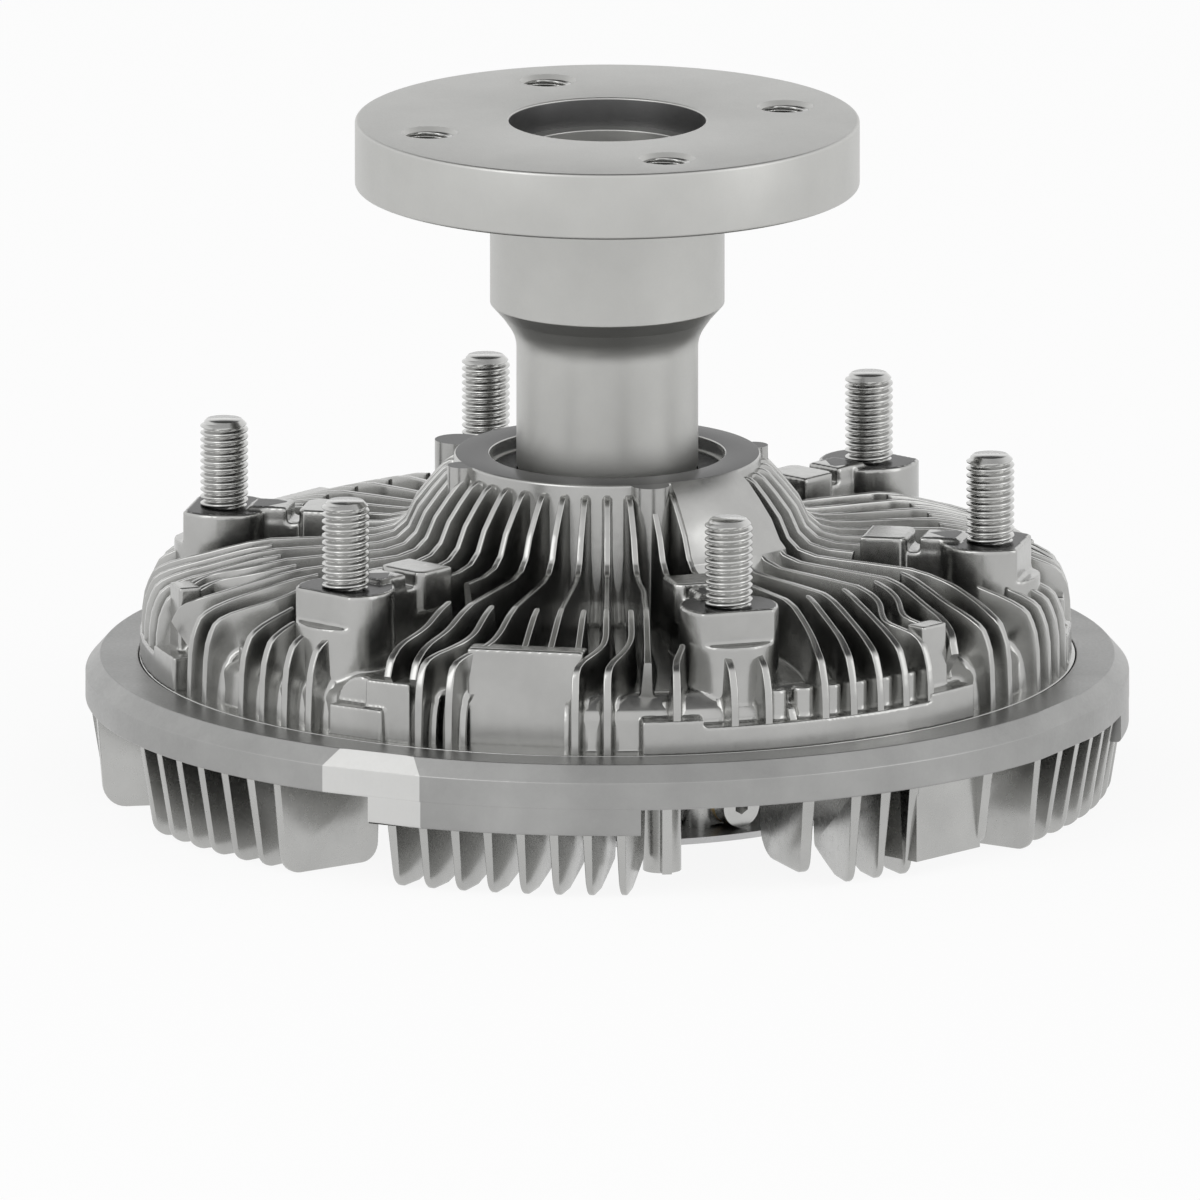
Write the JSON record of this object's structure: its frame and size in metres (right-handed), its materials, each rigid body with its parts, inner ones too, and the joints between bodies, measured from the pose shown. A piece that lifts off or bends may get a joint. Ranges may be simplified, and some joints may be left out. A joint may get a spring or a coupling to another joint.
{
  "type": "viscous fan clutch",
  "caption": "Round finned aluminium fan clutch with a stepped drive shaft and flange, studded bosses, a rear cover with cooling fins, and its bearing, disc and bimetal valve inside.",
  "frame": {"origin": "on the shaft axis, in the plane of the rear cooling fins' and lid's underside", "axes": "+Z along the shaft toward the drive flange; one main front fin points along -Y"},
  "size_m": [0.217, 0.217, 0.1425],
  "materials": {
    "machined_steel": "satin turned",
    "bearing_steel": "ground",
    "ball_steel": "polished",
    "cage_brass": "machined",
    "seal_rubber": "matte",
    "spring_steel": "oiled",
    "front_casting": "die cast",
    "rear_casting": "die cast",
    "stud_steel": "zinc plated",
    "disc_aluminium": "machined",
    "plate_steel": "pressed",
    "lid_steel": "zinc plated",
    "gasket": "matte",
    "copper_washer": "soft",
    "bush_brass": "turned",
    "bimetal": "rolled strip"
  },
  "bodies": {
    "housing": {"body_casting": "front_casting", "rear_cover": "rear_casting", "fan_studs": "stud_steel", "bearing_outer_ring": "bearing_steel", "bearing_seals": "seal_rubber", "bearing_circlip": "spring_steel", "cover_seal": "seal_rubber", "pump_plate": "plate_steel", "plate_screws": "stud_steel", "reservoir_lid": "lid_steel", "lid_screws": "stud_steel", "lid_gasket": "gasket", "filler_plug": "stud_steel", "plug_washer": "copper_washer", "valve_bush": "bush_brass", "coil_anchor": "bearing_steel"},
    "drive": {"input_shaft": "machined_steel", "bearing_inner_ring": "bearing_steel", "clutch_disc": "disc_aluminium", "disc_washer": "bearing_steel", "disc_screw": "stud_steel"},
    "ball_train": {"bearing_cage": "cage_brass", "bearing_balls": "ball_steel"},
    "valve": {"valve_shaft": "bearing_steel", "valve_arm": "plate_steel", "bimetal_coil": "bimetal"}
  },
  "joints": [
    {"name": "drive_spin", "type": "hinge", "parent": "housing", "child": "drive", "pos_m": [0, 0, 0.0621], "axis": [0, 0, 1], "continuous": true},
    {"name": "cage_spin", "type": "hinge", "parent": "housing", "child": "ball_train", "pos_m": [0, 0, 0.0621], "axis": [0, 0, 1], "continuous": true},
    {"name": "valve_turn", "type": "hinge", "parent": "housing", "child": "valve", "pos_m": [0, 0, 0.012], "axis": [0, 0, 1], "range_deg": [0, 35]}
  ],
  "couplings": [
    {"joint": "cage_spin", "follows": "drive_spin", "ratio": 0.416}
  ]
}
